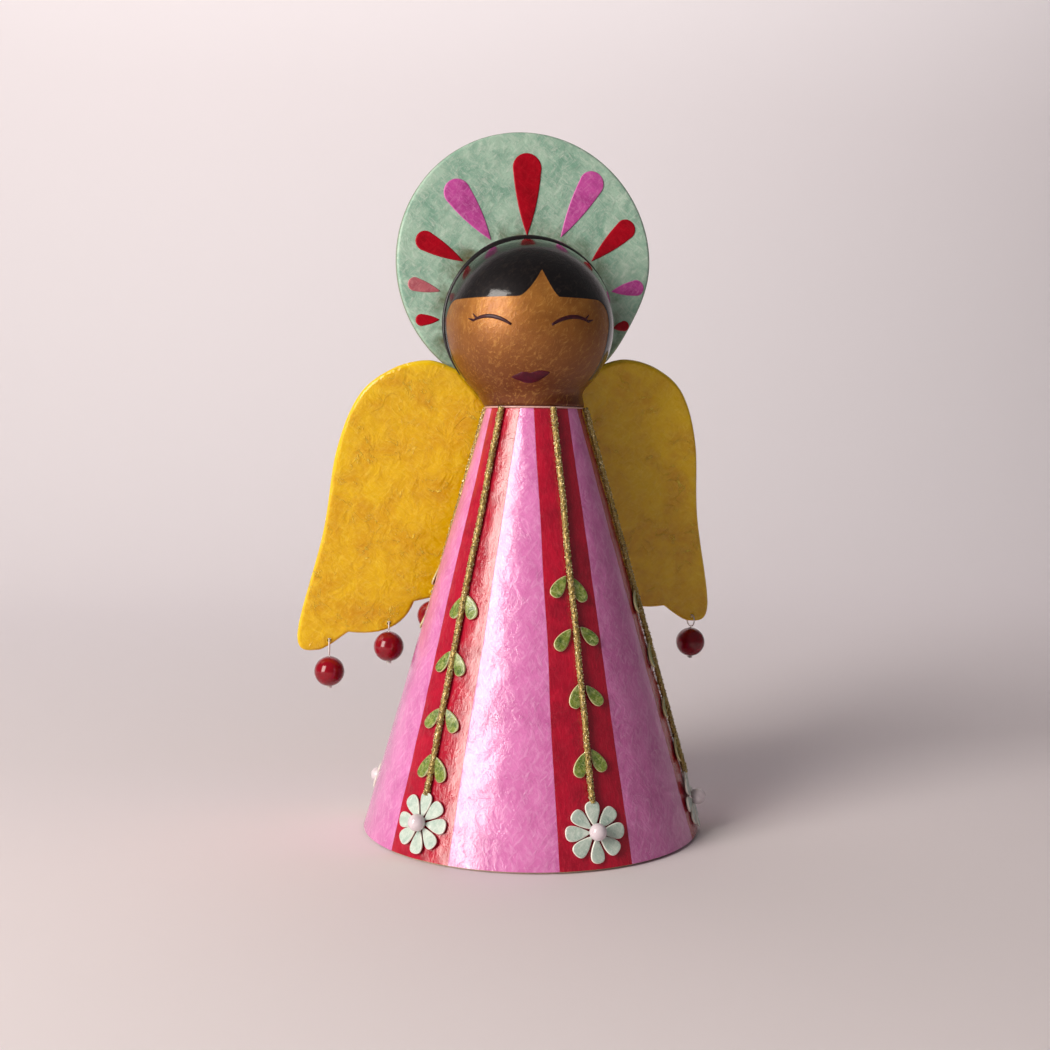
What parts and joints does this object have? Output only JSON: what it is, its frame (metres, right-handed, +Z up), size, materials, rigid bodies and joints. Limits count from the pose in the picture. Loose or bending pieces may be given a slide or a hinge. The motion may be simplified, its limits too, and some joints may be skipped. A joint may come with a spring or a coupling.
{
  "type": "angel tree topper",
  "caption": "Angel tree topper: hollow striped cone dress with leafy vines and flowers, ball head in a round halo, and scalloped wings with red beads that swing on thread loops.",
  "frame": {"origin": "middle of the dress's open base, on the plane that it stands on", "axes": "+Z up along the dress's axis, -Y to the front that the face looks to, +X to the viewer's right"},
  "size_m": [0.1824, 0.1401, 0.2798],
  "materials": {
    "card": null,
    "red_shell": "red-dyed pearly shell veneer under clear lacquer",
    "pink_shell": "pink-dyed pearly shell veneer under clear lacquer",
    "magenta_shell": "magenta-dyed shell inlay under clear lacquer",
    "rose_shell": "dusty pink shell inlay under clear lacquer",
    "vine_gold": "gold glitter cord with green shell leaves",
    "petal_shell": "pale mint shell petals with whitish edges",
    "white_pearl": "white pearl coating",
    "bronze_skin": "brushed bronze paint under thick glossy lacquer; black painted hair on the head",
    "black_hair": "black gloss paint",
    "mint_shell": "mottled mint shell veneer under clear lacquer",
    "gold_shell": "crinkled golden-yellow shell veneer under clear lacquer",
    "red_pearl": "deep red pearl coating",
    "thread": "clear nylon thread",
    "wood": "plain softwood dowel"
  },
  "bodies": {
    "topper": {"dress_core": "card", "red_panel_1": "red_shell", "red_panel_2": "red_shell", "red_panel_3": "red_shell", "red_panel_4": "red_shell", "red_panel_5": "red_shell", "red_panel_6": "red_shell", "pink_panel_1": "pink_shell", "pink_panel_2": "pink_shell", "pink_panel_3": "pink_shell", "pink_panel_4": "pink_shell", "pink_panel_5": "pink_shell", "pink_panel_6": "pink_shell", "vine_1": "vine_gold", "vine_2": "vine_gold", "vine_3": "vine_gold", "vine_4": "vine_gold", "vine_5": "vine_gold", "vine_6": "vine_gold", "flower_1": "petal_shell", "flower_2": "petal_shell", "flower_3": "petal_shell", "flower_4": "petal_shell", "flower_5": "petal_shell", "flower_6": "petal_shell", "flower_pearl_1": "white_pearl", "flower_pearl_2": "white_pearl", "flower_pearl_3": "white_pearl", "flower_pearl_4": "white_pearl", "flower_pearl_5": "white_pearl", "flower_pearl_6": "white_pearl", "neck_collar": "bronze_skin", "neck_dowel": "wood", "head": "bronze_skin", "hair_rim": "black_hair", "halo": "mint_shell", "halo_drop_top": "red_shell", "halo_drop_left_2": "magenta_shell", "halo_drop_left_3": "red_shell", "halo_drop_left_4": "rose_shell", "halo_drop_left_5": "red_shell", "halo_drop_right_2": "magenta_shell", "halo_drop_right_3": "red_shell", "halo_drop_right_4": "magenta_shell", "halo_drop_right_5": "red_shell", "wing_left": "gold_shell", "wing_right": "gold_shell"},
    "loop_left_1": {"bead_loop_left_1": "thread"},
    "bead_left_1": {"bead_left_1": "red_pearl"},
    "loop_left_2": {"bead_loop_left_2": "thread"},
    "bead_left_2": {"bead_left_2": "red_pearl"},
    "loop_left_3": {"bead_loop_left_3": "thread"},
    "bead_left_3": {"bead_left_3": "red_pearl"},
    "loop_right_1": {"bead_loop_right_1": "thread"},
    "bead_right_1": {"bead_right_1": "red_pearl"},
    "loop_right_2": {"bead_loop_right_2": "thread"},
    "bead_right_2": {"bead_right_2": "red_pearl"},
    "loop_right_3": {"bead_loop_right_3": "thread"},
    "bead_right_3": {"bead_right_3": "red_pearl"}
  },
  "joints": [
    {"name": "loop_left_1_sway", "type": "hinge", "parent": "topper", "child": "loop_left_1", "pos_m": [-0.07757, 0.05064, 0.0697], "axis": [0.1045, 0.9945, 0], "range_deg": [-30, 30]},
    {"name": "bead_left_1_nod", "type": "hinge", "parent": "loop_left_1", "child": "bead_left_1", "pos_m": [-0.07757, 0.05064, 0.06295], "axis": [-0.9945, 0.1045, 0], "range_deg": [-20, 20]},
    {"name": "loop_left_2_sway", "type": "hinge", "parent": "topper", "child": "loop_left_2", "pos_m": [-0.05271, 0.04588, 0.07714], "axis": [0.1045, 0.9945, 0], "range_deg": [-30, 8]},
    {"name": "bead_left_2_nod", "type": "hinge", "parent": "loop_left_2", "child": "bead_left_2", "pos_m": [-0.05271, 0.04588, 0.07379], "axis": [-0.9945, 0.1045, 0], "range_deg": [-20, 20]},
    {"name": "loop_left_3_sway", "type": "hinge", "parent": "topper", "child": "loop_left_3", "pos_m": [-0.03481, 0.04005, 0.0908], "axis": [0.1045, 0.9945, 0], "range_deg": [-6, 8]},
    {"name": "bead_left_3_nod", "type": "hinge", "parent": "loop_left_3", "child": "bead_left_3", "pos_m": [-0.03481, 0.04005, 0.08745], "axis": [-0.9945, 0.1045, 0], "range_deg": [-20, 10]},
    {"name": "loop_right_1_sway", "type": "hinge", "parent": "topper", "child": "loop_right_1", "pos_m": [0.08354, 0.04906, 0.07735], "axis": [0.1045, -0.9945, 0], "range_deg": [-30, 30]},
    {"name": "bead_right_1_nod", "type": "hinge", "parent": "loop_right_1", "child": "bead_right_1", "pos_m": [0.08354, 0.04906, 0.0723], "axis": [-0.9945, -0.1045, 0], "range_deg": [-20, 20]},
    {"name": "loop_right_2_sway", "type": "hinge", "parent": "topper", "child": "loop_right_2", "pos_m": [0.05271, 0.0432, 0.0864], "axis": [0.1045, -0.9945, 0], "range_deg": [-30, 8]},
    {"name": "bead_right_2_nod", "type": "hinge", "parent": "loop_right_2", "child": "bead_right_2", "pos_m": [0.05271, 0.0432, 0.08305], "axis": [-0.9945, -0.1045, 0], "range_deg": [-20, 20]},
    {"name": "loop_right_3_sway", "type": "hinge", "parent": "topper", "child": "loop_right_3", "pos_m": [0.03481, 0.03764, 0.09917], "axis": [0.1045, -0.9945, 0], "range_deg": [-6, 8]},
    {"name": "bead_right_3_nod", "type": "hinge", "parent": "loop_right_3", "child": "bead_right_3", "pos_m": [0.03481, 0.03764, 0.09582], "axis": [-0.9945, -0.1045, 0], "range_deg": [-20, 10]}
  ]
}
